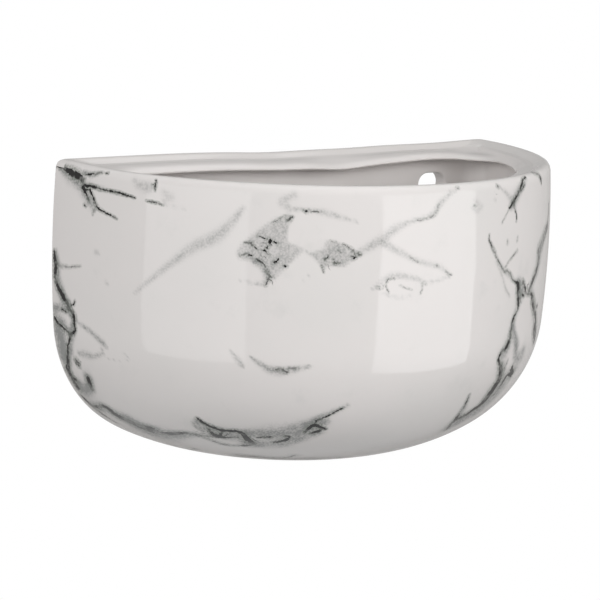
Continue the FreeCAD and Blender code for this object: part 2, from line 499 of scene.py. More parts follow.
def lip(materials):
    sheet = Sheet()

    def ring(parts):
        back, front = parts
        half = np.vstack([back[:BACK_LINE], front])       # back line, then corner and front
        left = half[1:-1][::-1].copy()
        left[:, 0] *= -1
        return np.vstack([half, left])

    rim = rim_rows()
    rows = [ring(row_parts(*row)) for row in rim[SEAM_INDEX:]]
    radius, back_y, corner, level = rim[-1]
    seam_radius, seam_back, seam_corner = seam_outline()
    for share in (0.33, 0.66, 1.0):
        rows.append(ring(row_parts(radius + (seam_radius - radius) * share,
                                   back_y + (seam_back - back_y) * share,
                                   corner + (seam_corner - corner) * share, level)))
    ids = [sheet.add(row) for row in rows]
    for upper, lower in zip(ids, ids[1:] + ids[:1]):
        sheet.bridge(upper + upper[:1], lower + lower[:1])
    return make_piece("lip_glazed", sheet, materials)


# ---------------------------------------------------------------- marbling
# The print's marks lie on the outside by (angle round the bowl's axis, run down from the crest): angle 0 is
# the middle of the front and grows to the right. Each was traced from the photo.
# Veins are (layer, ink, [(angle, run, half width)]), and veins that meet are mostly on different layers.
# Clouds are (strength, [(angle, run, half width)]), patches (strength, outline).
VEINS = [
    (0, 1, [(-91.7, 4, 0.29), (-88.8, 4.1, 0.81), (-85.8, 5.2, 1.43), (-83.4, 5.9, 1.45), (-81.9, 6.8, 1.16),
        (-82.1, 8.4, 0.59), (-81, 8.8, 0.43), (-78.3, 8.6, 0.49), (-77.1, 9.1, 0.39), (-76, 9.2, 0.29),
        (-74.6, 9.2, 0.24), (-72.1, 9.3, 0.44), (-67.6, 10.4, 0.15)]),
    (0, 1, [(-65, 10.8, 0.15), (-63.8, 11.1, 0.29), (-62.4, 11.2, 0.24), (-61.1, 11.8, 0.15)]),
    (1, 0.73, [(-81.2, 4.8, 0.19), (-78.6, 4.1, 0.46), (-76.6, 3.2, 0.3)]),
    (1, 1, [(-75.4, 3.2, 0.29), (-75.1, 3.1, 0.29)]),
    (0, 0.85, [(-81.9, 9.8, 0.61), (-80.8, 11.6, 0.55), (-79.8, 13.6, 0.53)]),
    (1, 0.8, [(-81.1, 15.7, 0.39), (-80.7, 15.9, 0.4)]),
    (1, 0.77, [(-79.6, 10, 0.46), (-78.6, 12.4, 0.49), (-78.1, 14.2, 0.58), (-77.4, 15.7, 0.48),
        (-75, 17.2, 0.28), (-73.1, 17.7, 0.27), (-71.9, 18.6, 0.22)]),
    (0, 0.4, [(-77.8, 16.4, 0.32), (-78.5, 18.4, 0.33)]),
    (1, 1, [(-63.1, 3.3, 0.16), (-63, 4.9, 0.36), (-63.1, 6.9, 0.22)]),
    (0, 0.8, [(-63.8, 5.2, 0.24), (-63.3, 5.1, 0.24)]),
    (0, 1, [(-91, 35.2, 0.69), (-90.8, 37.4, 1.16), (-90.4, 39.2, 1.38), (-90.3, 41.2, 1.09),
        (-90.8, 43.7, 1.16), (-90.3, 46, 0.97), (-89.3, 48.3, 1.06), (-88, 49.9, 1.22), (-87.4, 51.2, 1.04)]),
    (1, 0.42, [(-89.8, 39.2, 0.57), (-87.7, 39.6, 0.53), (-85.4, 39.2, 0.38), (-81.6, 37.8, 0.26)]),
    (0, 0.7, [(-44.6, 27, 0.29), (-43.9, 26.3, 0.38), (-42.4, 26.8, 0.19)]),
    (1, 0.66, [(-44, 22.4, 0.19), (-42.9, 22.3, 0.38), (-41.6, 24.4, 0.34)]),
    (0, 0.62, [(-41.5, 19.8, 0.2), (-39.9, 20.8, 0.19)]),
    (1, 0.78, [(-39.3, 21.1, 0.43), (-39, 21.3, 0.63), (-39.2, 22.4, 0.29)]),
    (1, 0.7, [(-38.1, 21.8, 0.29), (-37.7, 22.2, 0.34)]),
    (0, 0.66, [(-40.3, 24.9, 0.34), (-39.9, 24.6, 0.24)]),
    (1, 0.66, [(-39.7, 23.9, 0.29), (-39.4, 23.9, 0.24)]),
    (0, 0.47, [(-39.8, 25.2, 0.15), (-39.1, 26.2, 0.19)]),
    (1, 0.66, [(-38.2, 28.8, 0.34), (-37.6, 28.6, 0.38), (-37.2, 27.2, 0.19)]),
    (0, 0.66, [(-36, 29.9, 0.34), (-35.7, 30.1, 0.34)]),
    (0, 0.55, [(-38.5, 33.9, 0.3), (-38.1, 34.1, 0.24)]),
    (0, 0.47, [(-38.6, 15.2, 0.19), (-37.8, 14, 0.24), (-36.3, 12.6, 0.19)]),
    (1, 0.7, [(-35.7, 13.7, 0.48), (-35.3, 13.5, 0.58), (-34.8, 12.8, 0.24)]),
    (1, 0.74, [(-32.6, 10.5, 0.29), (-32.2, 10.7, 0.48), (-31.9, 10.3, 0.19)]),
    (0, 0.47, [(-31.4, 10.7, 0.19), (-29.4, 10.8, 0.19)]),
    (0, 0.62, [(-24.7, 21.9, 0.19), (-23.7, 22.7, 0.29), (-22.7, 24.1, 0.43), (-22.4, 24.4, 0.24)]),
    (1, 0.78, [(-21.6, 25.2, 0.34), (-21.2, 25.6, 0.38)]),
    (0, 0.66, [(-22.5, 26.9, 0.34), (-22.1, 26.6, 0.34)]),
    (1, 0.66, [(-28.2, 27.2, 0.34), (-27.6, 26.4, 0.29), (-27.4, 25.7, 0.15)]),
    (0, 0.74, [(-26.5, 27.5, 0.29), (-26.3, 28.3, 0.53), (-25.8, 28.8, 0.29)]),
    (1, 0.62, [(-25.5, 28.3, 0.24), (-25.2, 28.4, 0.19)]),
    (0, 0.62, [(-28.8, 29.6, 0.29), (-28.3, 31.8, 0.15)]),
    (0, 0.39, [(-27.2, 20.7, 0.15), (-26, 21.2, 0.15)]),
    (1, 0.47, [(-25.8, 24.1, 0.15), (-25.2, 24.8, 0.19)]),
    (0, 0.58, [(-41.5, 28, 0.29), (-40.6, 28.4, 0.34), (-39.8, 30.4, 0.34), (-39.2, 32.5, 0.38),
        (-38.8, 33.8, 0.38), (-39.6, 36.9, 0.38)]),
    (0, 0.41, [(-9.3, 13.9, 0.18), (-8.6, 14, 0.18), (-7, 13.5, 0.15), (-5.6, 12.8, 0.22), (-4.9, 12.2, 0.34),
        (-4.3, 8.9, 0.21)]),
    (1, 0.47, [(0.3, 3.4, 0.3), (0.8, 3.3, 0.29)]),
    (0, 0.29, [(-10.8, 26.4, 0.15), (-10.1, 27.5, 0.22), (-8.3, 29.1, 0.15)]),
    (1, 0.39, [(-4.6, 30.4, 0.29), (-4, 30.4, 0.29)]),
    (0, 0.43, [(-2, 32.4, 0.16), (-1.3, 34, 0.25), (-0.4, 34, 0.19)]),
    (0, 0.57, [(-15.5, 35.5, 0.22), (-15.3, 34.9, 0.35), (-15, 34.4, 0.22), (-14.3, 33.9, 0.18),
        (-13.7, 34.2, 0.15)]),
    (1, 0.43, [(-15.7, 36.3, 0.19), (-15.3, 37.8, 0.19), (-14.8, 39.2, 0.15)]),
    (1, 0.66, [(-17.3, 37.1, 0.29), (-16.9, 37.4, 0.29)]),
    (0, 0.35, [(-12.5, 36.6, 0.19), (-11.6, 37.5, 0.18), (-9.8, 38.4, 0.15)]),
    (1, 0.39, [(-7.6, 36.4, 0.21), (-7.4, 38, 0.17), (-7.8, 40, 0.17)]),
    (0, 0.31, [(-6.9, 36.7, 0.18), (-6.5, 36.9, 0.15)]),
    (0, 0.82, [(24.3, 2.4, 0.27), (22.3, 3.3, 0.49), (21.5, 4.8, 0.7), (21, 6.4, 0.75), (20.2, 7.6, 0.62),
        (18.5, 10, 0.8), (16.5, 12.6, 0.43)]),
    (1, 0.7, [(22.8, 5.2, 0.48), (22.2, 6.3, 0.43), (21.2, 7.2, 0.33)]),
    (1, 0.61, [(18.4, 10.4, 0.48), (18.3, 12.4, 0.58), (18.9, 13.8, 0.37), (19.4, 15.6, 0.34),
        (19.4, 17.8, 0.29)]),
    (0, 0.33, [(16.4, 12.8, 0.31), (13.9, 17.6, 0.22)]),
    (1, 0.51, [(12.1, 3.8, 0.42), (12.6, 4.4, 0.41)]),
    (0, 0.63, [(29.6, 1.5, 0.73), (31.1, 2.4, 0.82), (32, 3.6, 1.03), (32.7, 5.2, 0.85), (32.9, 6.4, 0.49)]),
    (1, 0.47, [(5.1, 10, 0.3), (5.5, 10.3, 0.32)]),
    (1, 0.23, [(11.2, 8.8, 0.27), (11.6, 9.1, 0.29)]),
    (0, 0.3, [(16.1, 24.2, 0.31), (16.2, 25.2, 0.5)]),
    (0, 0.3, [(20.2, 23.6, 0.28), (20, 25, 0.44)]),
    (0, 0.61, [(9.8, 21.2, 0.25), (9.7, 22.8, 0.32), (10.2, 24.4, 0.37), (11.7, 27.6, 0.46), (12, 28.8, 0.32),
        (12.7, 30.4, 0.25), (15.6, 36, 0.25), (16.2, 35.2, 0.46), (17.4, 36, 0.4), (18.2, 37.2, 0.5),
        (18.9, 39.2, 0.46), (20, 40.2, 0.31), (21.1, 40.5, 0.34)]),
    (1, 0.42, [(15.8, 34, 0.25), (17.1, 31.9, 0.3), (20.2, 28.7, 0.41)]),
    (1, 0.17, [(12.3, 30.9, 0.32), (14.2, 35.4, 0.41), (16.8, 42.8, 0.49), (18.2, 45, 0.44)]),
    (1, 0.52, [(41.2, 16, 0.85), (40.8, 20.5, 1.33), (40.3, 24, 1.7), (36.9, 26.3, 1.82), (34.5, 29.6, 1.82),
        (32.4, 31.2, 2.06), (32.7, 34, 1.7), (32.1, 36.7, 1.33), (30.8, 39.9, 1.33), (29.3, 42.4, 1.08),
        (27.9, 44.4, 0.91), (27.4, 45.6, 0.81)]),
    (0, 0.87, [(20, 40.2, 0.37), (21.4, 40.8, 0.96), (21.9, 43.1, 1.25), (22, 45.2, 1.33), (22.3, 47.5, 1.05),
        (22.4, 49.2, 0.76), (22.8, 50.4, 0.42), (21.7, 52.4, 0.28), (20.8, 53.7, 0.7), (20.4, 57.6, 0.58),
        (20.1, 59.6, 0.86), (20.4, 61.4, 0.69), (19.7, 63.3, 1.12), (19.2, 65, 1.06), (17.6, 65.6, 0.63),
        (17, 67, 0.71), (16.9, 68.8, 0.69), (17.8, 70.4, 0.7), (19, 72.5, 1.18), (20, 75.2, 1.62),
        (20.9, 77.9, 1.99), (20.2, 80.1, 2.08), (20, 82.7, 2.44), (19.4, 85.2, 2.25), (19.1, 87.9, 2.06),
        (18.4, 90, 1.62), (16.9, 90.8, 1.18), (15.8, 92.8, 1.33), (14.3, 94.2, 1.33), (12.6, 95, 1.15)]),
    (1, 0.76, [(23.6, 40.8, 0.7), (24.6, 42.4, 0.78), (25.4, 44.4, 0.79), (26, 46.2, 0.61), (29.4, 47, 0.65),
        (30.1, 49, 1.38), (31.5, 52, 1.62), (32.8, 54.5, 1.33), (34.6, 57.2, 0.74), (35.1, 60, 1.62),
        (34.7, 62, 2.21), (36.4, 64.8, 2.06), (37.6, 67.9, 1.03)]),
    (0, 1, [(24, 46, 0.39), (24.8, 46.4, 0.56)]),
    (1, 0.61, [(25.1, 74, 0.93), (25.2, 75.6, 1.72), (27.2, 77.9, 1.33), (24.2, 76.8, 0.87),
        (23.4, 78.4, 1.14), (23.4, 80.8, 0.88), (23, 83.2, 0.74), (22.4, 85.6, 0.74)]),
    (1, 0.57, [(10.5, 81.7, 0.36), (11.3, 88.7, 0.66), (11.2, 91.8, 0.82), (12, 95.4, 1.28),
        (11.9, 98.2, 1.03), (13.1, 101.9, 0.88)]),
    (1, 0.5, [(21.2, 70.4, 0.54), (21, 73.2, 0.65), (21, 74.8, 0.44)]),
    (1, 0.6, [(35, 53.2, 0.74), (33.7, 53.2, 0.59)]),
    (0, 0.93, [(-89.2, 48.8, 0.82), (-87.7, 50.4, 1.24), (-86.8, 52.2, 1.03), (-85.8, 52.7, 1.1),
        (-86.4, 54.4, 0.61), (-84.6, 55.1, 0.68), (-84, 56.8, 1.04), (-83.8, 58.4, 0.73), (-84, 60, 0.6),
        (-83.4, 61.6, 0.51), (-84.1, 62.8, 0.58), (-85.5, 64.3, 0.71), (-86.1, 66.7, 0.52), (-87, 69, 0.52),
        (-87.4, 71.6, 0.69), (-88, 74.4, 1.18), (-88.8, 77.3, 1.1), (-90, 80, 1.73), (-89.3, 81.7, 1.38),
        (-89.3, 83.5, 1.47), (-89.3, 85.6, 1.31), (-89.2, 87.5, 1.48)]),
    (1, 0.75, [(-83.5, 51, 0.31), (-83.8, 52.5, 0.36), (-84.9, 53.2, 0.31)]),
    (1, 0.9, [(-88.2, 55.6, 0.43), (-87.6, 55.7, 0.27)]),
    (1, 0.9, [(-87, 56, 0.42), (-86.6, 56, 0.26)]),
    (1, 0.62, [(-91.2, 59.6, 0.87), (-89.9, 61.6, 0.81), (-88.3, 62.1, 0.56), (-86.4, 63.2, 0.61),
        (-85.8, 64.2, 0.62)]),
    (1, 1, [(-84.8, 74.4, 1.14), (-84.6, 75.1, 1.64), (-84.5, 75.5, 0.98)]),
    (1, 1, [(-88.6, 83.2, 0.91), (-88, 83.2, 0.93)]),
    (1, 0.8, [(-82.4, 80.4, 1.06), (-82.8, 82.8, 1.34), (-82.8, 85.4, 1.1)]),
    (0, 0.69, [(-87.1, 96.8, 1.05), (-82.2, 94, 1.07), (-80.8, 95.2, 1.82), (-80.2, 98, 2.08),
        (-78, 99.6, 1.85), (-76, 101.6, 1.94), (-73.2, 102.6, 1.72), (-69.6, 102.4, 1.35)]),
    (1, 0.6, [(-90, 92.1, 1.11), (-88.1, 99.5, 1.66), (-86.5, 102.6, 1.11), (-85.1, 105.7, 1.11)]),
    (0, 0.62, [(-76.3, 100.6, 2.03), (-73.8, 103.6, 2.29), (-70.8, 105.3, 2.29), (-68, 105.9, 1.81),
        (-63.3, 103.6, 1.29), (-60, 101.6, 0.87), (-56.5, 101.6, 0.68), (-53.2, 102, 0.68),
        (-49.9, 102.1, 0.66), (-45.7, 100.3, 0.48)]),
    (1, 0.57, [(-57.5, 101.9, 0.58), (-55.1, 103.1, 0.88), (-50.8, 107.9, 1.08), (-48.2, 108.5, 0.9),
        (-44.6, 107.5, 0.84), (-41.6, 105.2, 0.6)]),
    (1, 1, [(-54.6, 90.8, 0.58), (-54.2, 92, 0.68), (-52.8, 94, 0.72), (-51.1, 95.6, 0.97),
        (-49.6, 96.7, 0.97), (-47.7, 96.6, 0.75), (-45.7, 96.2, 0.85), (-44.6, 97.2, 0.98),
        (-43.4, 102, 1.73), (-42.5, 104, 1.21)]),
    (0, 1, [(-52.5, 96.8, 0.48), (-52.1, 99, 0.86), (-51.5, 101.7, 1.55), (-50.4, 100.8, 1),
        (-49.4, 97.6, 0.52)]),
    (0, 0.43, [(-56.1, 93.6, 0.47), (-55.7, 96.6, 0.67), (-54.3, 98.5, 0.48)]),
    (1, 0.9, [(-40.9, 99.8, 0.49), (-37.6, 98.8, 0.58)]),
    (0, 0.84, [(-37.1, 103, 0.55), (-35.4, 102.1, 0.89), (-33.9, 100.7, 1.01), (-32.9, 98.2, 0.43),
        (-34.3, 97.8, 0.43)]),
    (1, 1, [(-29.8, 95.2, 0.58), (-28.9, 92.1, 0.88), (-27.9, 90.7, 1.05), (-25.2, 93.1, 0.52)]),
    (0, 0.71, [(-28, 90.5, 0.45), (-27.6, 88, 0.47), (-26.2, 87.1, 0.41), (-24.6, 85.2, 0.4),
        (-23.4, 83.4, 0.37), (-22.2, 82.2, 0.23)]),
    (0, 0.85, [(-28.2, 95.6, 0.7), (-26.7, 94.4, 0.89), (-26, 93.5, 0.56)]),
    (0, 0.57, [(-37, 66.8, 0.41), (-35.8, 66.8, 0.53), (-34.8, 67.6, 0.48)]),
    (1, 0.39, [(-34.3, 66.1, 0.3), (-32.6, 65.9, 0.31)]),
]

CLOUDS = [
    (0.21, [(-61.1, 11.8, 0.4), (-56.3, 12.2, 0.4)]),
    (0.51, [(-90.3, 4.8, 0.8), (-86.1, 6.2, 2.7), (-83.3, 8, 2.3), (-81.4, 10.4, 2.3), (-78.4, 16, 1.4)]),
    (0.57, [(-81.6, 4, 1), (-79.8, 4.4, 1.2), (-77.9, 3.6, 0.8)]),
    (0.34, [(-81.6, 8, 1.1), (-67.4, 10.4, 0.4)]),
    (0.51, [(-90.4, 34.8, 1), (-90, 39.2, 2.1), (-89.8, 43.6, 1.9), (-87.8, 51.2, 2.3)]),
    (0.28, [(-67.9, 4.2, 1.1), (-66.9, 5.7, 1.5), (-65.1, 6.3, 1.8), (-63.5, 5.9, 1.2)]),
    (0.16, [(-61.1, 7.4, 1.1), (-59.5, 8.6, 1.4), (-60.9, 10.2, 1)]),
    (0.22, [(-77.1, 31.8, 0.9), (-76.4, 31.8, 0.6)]),
    (0.19, [(-74.2, 42, 0.7), (-73.9, 42.3, 0.7)]),
    (0.31, [(-66.9, 43.8, 0.5), (-57.4, 29.6, 1.3), (-53.6, 24.6, 1.8), (-49.6, 21.2, 2), (-46.7, 15.8, 1.4),
        (-44.5, 10.5, 0.7)]),
    (0.4, [(-41.7, 28.9, 1.1), (-40.4, 30.2, 1), (-39.1, 33.9, 1), (-39.5, 36.7, 0.7), (-44.5, 36, 0.3)]),
    (0.21, [(-34.7, 5.3, 1.1), (-37.8, 7.9, 1.1), (-35.4, 10, 1.2), (-34.1, 10.3, 0.9)]),
    (0.26, [(-34.1, 9.9, 0.6), (-28.8, 10.8, 1.1), (-22.1, 14.1, 0.5)]),
    (0.2, [(-32.6, 24.1, 0.6), (-30.9, 25.4, 0.7)]),
    (0.2, [(-32.1, 34.5, 0.4), (-31.2, 33.2, 0.4)]),
    (0.3, [(-21.5, 24.9, 1.1), (-16.8, 20.4, 1.6), (-13.9, 16.4, 1.3), (-10.4, 14.1, 0.7), (-6.8, 13.2, 0.8),
        (-5.2, 12, 1), (-3.8, 8, 1.1), (-0.8, 4.4, 0.7), (0.7, 3.4, 0.6)]),
    (0.24, [(-16.4, 21.6, 1.4), (-10.1, 27.5, 0.9), (-6.4, 29.6, 1), (-4.2, 30.1, 0.9), (-2.5, 31.7, 0.9),
        (-1.1, 34, 0.8)]),
    (0.2, [(-1.1, 34.4, 0.6), (-4.2, 36, 0.6), (-7.5, 36.2, 0.5)]),
    (0.28, [(-19.1, 38.1, 0.3), (-17.8, 37.3, 0.6), (-15.6, 33.6, 0.9), (-13.5, 32.9, 1), (-9, 34.4, 0.9),
        (-7.3, 35.9, 0.6)]),
    (0.2, [(-16.8, 37.6, 0.5), (-16.1, 39.5, 0.4), (-14.1, 40.7, 0.6), (-11.9, 41.2, 0.5),
        (-10.1, 40.6, 0.4)]),
    (0.25, [(12.4, 4, 0.6), (14.2, 5.6, 0.7), (17.6, 10, 1.3)]),
    (0.48, [(24.8, 2.1, 0.8), (21.9, 4.4, 1.7), (18.5, 10, 2.1), (17.1, 12.1, 1.4)]),
    (0.15, [(5.6, 8.5, 1.1), (7, 10.8, 1.2), (5.9, 12.5, 0.7), (4.6, 10.8, 0.8)]),
    (0.34, [(26.7, 1.6, 0.5), (24, 2.8, 0.7)]),
    (0.25, [(10.2, 23.9, 0.6), (13.7, 32.2, 0.8), (15.9, 35.7, 1.1), (18.7, 38.8, 0.9), (21.2, 40.7, 0.9)]),
    (0.43, [(40.1, 23.6, 1.9), (34.7, 28.8, 2.9), (32.7, 32.6, 3.6), (32.4, 36.8, 2.7), (27.6, 45.4, 1.7)]),
    (0.62, [(22.3, 41.6, 1.7), (23.1, 43.7, 2.5), (23.6, 46, 2.3)]),
    (0.46, [(21.6, 40.8, 1.9), (22.6, 49.6, 1.7), (21.1, 53.6, 1.5), (20.4, 62.8, 2.8), (18.6, 66.6, 3.3),
        (18.2, 70, 2.5), (20.6, 76.4, 3), (20, 82.7, 4.1), (19, 90.8, 3.2), (13.7, 96.7, 3.2)]),
    (0.56, [(21, 56.8, 0.8), (24.1, 65.5, 2.2), (24.6, 68.8, 1.7)]),
    (0.42, [(28.9, 69.2, 2.7), (28.5, 70.8, 3.5), (25.7, 70.4, 2)]),
    (0.5, [(26.7, 76.8, 3.2), (25, 78.8, 4.4), (24.5, 82.7, 4.4), (23.3, 87.7, 4.1), (21, 93.5, 3.8),
        (15.7, 97.6, 3.5)]),
    (0.46, [(29.5, 47.2, 2.1), (35, 60, 3.2), (37.1, 65.9, 2.9)]),
    (0.39, [(10.5, 82.3, 0.8), (12.9, 101, 3.8)]),
    (0.62, [(-89.6, 48.7, 1.3), (-85.6, 53, 1.7)]),
    (0.62, [(-91.2, 56, 1.6), (-88, 54.8, 1.6), (-85, 55.2, 1.8), (-84, 58.4, 1.6), (-84.8, 62.7, 1.7)]),
    (0.65, [(-90.7, 60.1, 2.3), (-88.2, 61.2, 2.5), (-86.2, 63.5, 1.8)]),
    (0.85, [(-90.2, 65.2, 3.3), (-88.8, 67.2, 3.5), (-88.7, 70.4, 4), (-89.4, 74, 3.2)]),
    (0.43, [(-84.5, 63.3, 1.4), (-86.6, 71.4, 1.2)]),
    (0.5, [(-83.1, 58.5, 0.7), (-79, 60.8, 0.9), (-75.3, 64.2, 1.1), (-74.5, 65.4, 0.7)]),
    (0.37, [(-83.2, 70.7, 1), (-81, 70.4, 1.5), (-78, 70.3, 0.9), (-75.6, 68.4, 0.7), (-75.8, 66.8, 0.7)]),
    (0.22, [(-74.3, 70, 0.3), (-68.9, 69.5, 0.2), (-68.2, 67.9, 0.3), (-70.3, 66.4, 0.3)]),
    (0.7, [(-88.7, 85.3, 2.3), (-87.7, 86.9, 4.1), (-86, 87.7, 2.8), (-83.1, 84.6, 2.2), (-82.3, 80.5, 2.2)]),
    (0.46, [(-88.7, 80, 1.6), (-89.6, 83.2, 2.5), (-87.9, 84.5, 2.7)]),
    (0.62, [(-87.8, 96.4, 2.2), (-82.2, 95.7, 3.7), (-75, 102.6, 3.6), (-68.8, 102.8, 2.7)]),
    (0.62, [(-75.8, 99.6, 3.6), (-74.2, 104.4, 5.4), (-71.8, 107.2, 5.8), (-67.4, 107, 5.4),
        (-62.7, 104.7, 3.5), (-57.9, 102, 2.2)]),
    (0.51, [(-55, 92.8, 1.4), (-52.6, 98, 3.6), (-49.6, 99.4, 3.7), (-44.8, 99.4, 3.9), (-42.7, 104, 3.2)]),
    (0.54, [(-44.6, 96.6, 1.5), (-37, 97, 4.3), (-33.4, 95.6, 4.3), (-27.4, 90.8, 3.1), (-25.4, 88.9, 1.4)]),
    (0.46, [(-43.7, 106.4, 2.3), (-39.5, 105.4, 3.4), (-35.4, 104.1, 3.6), (-26.2, 95, 1.5)]),
    (0.43, [(-30.2, 91.6, 1.9), (-27.6, 87.5, 1.6), (-21.5, 81.2, 0.8)]),
    (0.36, [(-46.2, 60.8, 0.4), (-44.5, 64.3, 1.1), (-43.7, 66.3, 0.6)]),
    (0.43, [(-42.1, 62.8, 0.5), (-38.4, 67, 1.3), (-36.2, 67.6, 1.6), (-30.1, 65.3, 0.5)]),
]

PATCHES = [
    (0.31, [(-45.5, 26.1), (-44.5, 22.7), (-43.5, 21.3), (-41.2, 17.7), (-38.4, 13.9), (-36.1, 11.9),
        (-34.5, 12.2), (-35.5, 15.5), (-35.8, 19.2), (-35.8, 21.6), (-33.8, 22.8), (-32.6, 24.1),
        (-33.8, 26.5), (-35.3, 29.4), (-36.2, 31.3), (-37.5, 33.7), (-38.5, 35.7), (-39.3, 33.4),
        (-40.7, 30.3), (-42.8, 28.6), (-45.2, 28)]),
    (0.34, [(-31.2, 25.5), (-29.9, 24.7), (-28.6, 23.6), (-28.1, 21.1), (-27.1, 20.5), (-25.2, 21.6),
        (-23.6, 22.9), (-22.2, 24.4), (-21.2, 25.3), (-22.2, 26.7), (-23.2, 28), (-24.5, 29.7), (-26.1, 29.7),
        (-27.4, 29.6), (-28.4, 30.4), (-29, 29.2), (-30.4, 26.8)]),
]

GROWN_SEED = 11
# Where a grown vein starts, its heading and its length, beyond the marks above.
GROWN_STARTS = [(60, 14, 0.9, 70), (74, 7, 1.4, 60), (86, 30, 1.9, 60), (66, 66, 0.3, 46), (88, 78, 2.3, 52),
                (58, 96, 0.5, 46), (80, 108, 1.0, 42), (40, 120, 0.1, 50), (10, 122, 0.4, 44),
                (-24, 130, 2.9, 34), (-48, 122, 0.7, 40), (-72, 121, 0.4, 36)]
GROWN_STEP = 3             # along a grown vein
GROWN_TURN = 0.42          # how much its heading varies at each step
DEGREE = 1.75              # one degree round the bowl, about, where the patches lie
FLANK = 55.0               # right of this angle the marks are grown, and underneath
PRINT_EDGE = 4.4           # the print ends this far down from the crest


def outside_section():
    """Radius and level of the outside along its run from the crest."""
    top = [(rim_outer_radius() - inset, CREST - drop) for inset, drop in LIP_SECTION[4::-1]]
    low = [(r, z) for r, z, _, _ in outside_stations()[1:]] + [(0.0, BASE)]
    section = np.array(top + low)
    return run_of(section), section


RUN, SECTION = outside_section()


def on_surface(angle, run):
    """The point at (angle, run) on the round outside. At the back's corners it is a little off the glaze."""
    r, z = np.interp(run, RUN, SECTION[:, 0]), np.interp(run, RUN, SECTION[:, 1])
    a = math.radians(angle)
    return np.array([r * math.sin(a), AXIS_Y - r * math.cos(a), z])


def traced(mark, step=0.5):
    """A mark's points on the surface every half millimetre, with its half width at each."""
    points, widths = [], []
    for (a0, s0, w0), (a1, s1, w1) in zip(mark, mark[1:]):
        length = np.linalg.norm(on_surface(a1, s1) - on_surface(a0, s0))
        count = max(1, int(length / step))
        for i in range(count):
            t = i / count
            points.append(on_surface(a0 + (a1 - a0) * t, s0 + (s1 - s0) * t))
            widths.append(w0 + (w1 - w0) * t)
    points.append(on_surface(*mark[-1][:2]))
    widths.append(mark[-1][2])
    points, widths = np.array(points), np.array(widths)
    if len(points) > 7:
        kernel = np.array([1, 2, 3, 2, 1]) / 9
        points[2:-2] = np.column_stack([np.convolve(points[:, k], kernel, "valid") for k in range(3)])
    return points, widths


def grown_marks():
    """Veins and clouds for the right flank and the underside, in the style of the others."""
    chance = random.Random(GROWN_SEED)
    veins, clouds = [], []

    def wander(angle, run, heading, length, width):
        mark = []
        highest, leftmost = (116.0, -90.0) if run > 110 else (6.0, FLANK)
        for _ in range(int(length / GROWN_STEP)):
            scale = max(float(np.interp(run, RUN, SECTION[:, 0])), 12.0) * math.pi / 180
            mark.append((angle, run, width * chance.uniform(0.45, 1.3)))
            heading += chance.gauss(0, GROWN_TURN)
            angle += GROWN_STEP * math.cos(heading) / scale
            run += GROWN_STEP * math.sin(heading)
            if not highest < run < 150 or angle < leftmost:
                break
        return mark

    for angle, run, heading, length in GROWN_STARTS:
        ink = chance.uniform(0.55, 1.0)
        main = wander(angle, run, heading, length, chance.uniform(0.35, 0.75))
        if len(main) < 4:
            continue
        veins.append((0, ink, main))
        clouds.append((0.34, [(a, s, 2.2 + 1.6 * w) for a, s, w in main[::2]]))
        for _ in range(2):
            a, s, w = main[chance.randrange(1, len(main) - 1)]
            twig = wander(a, s, heading + chance.choice((-1, 1)) * chance.uniform(0.6, 1.2), 15, w * 0.8)
            if len(twig) > 2:
                veins.append((1, ink * 0.85, twig))
                clouds.append((0.22, [(p, q, 2.4) for p, q, _ in twig]))
    return veins, clouds


def nearest_marks(points, marks):
    """Each point's distance aside of, past the end of and to its nearest mark, and its width and ink."""
    samples, tangents, widths, inks, ends = [], [], [], [], []
    for ink, mark in marks:
        place, width = traced(mark)
        tangent = np.gradient(place, axis=0)
        samples.append(place)
        tangents.append(tangent / np.linalg.norm(tangent, axis=1, keepdims=True))
        widths.append(width)
        inks.append(np.full(len(place), ink))
        end = np.zeros(len(place))
        end[0], end[-1] = -1, 1
        ends.append(end)
    samples, tangents = np.vstack(samples), np.vstack(tangents)
    widths, inks, ends = np.concatenate(widths), np.concatenate(inks), np.concatenate(ends)
    tree = KDTree(len(samples))
    for i, place in enumerate(samples):
        tree.insert(place, i)
    tree.balance()
    found = np.array([tree.find(p)[1] for p in points])
    offset = points - samples[found]
    along = np.einsum("ij,ij->i", offset, tangents[found])
    outward = points - np.array([0, AXIS_Y, BASE + 70.0])
    outward /= np.linalg.norm(outward, axis=1, keepdims=True)
    side = np.cross(outward, tangents[found])
    side /= np.maximum(np.linalg.norm(side, axis=1, keepdims=True), 1e-6)
    across = np.einsum("ij,ij->i", offset, side)
    past = np.where(ends[found] * along > 0, np.abs(along), 0)
    near = np.hypot(across, past)
    return across, past, near, widths[found], inks[found]


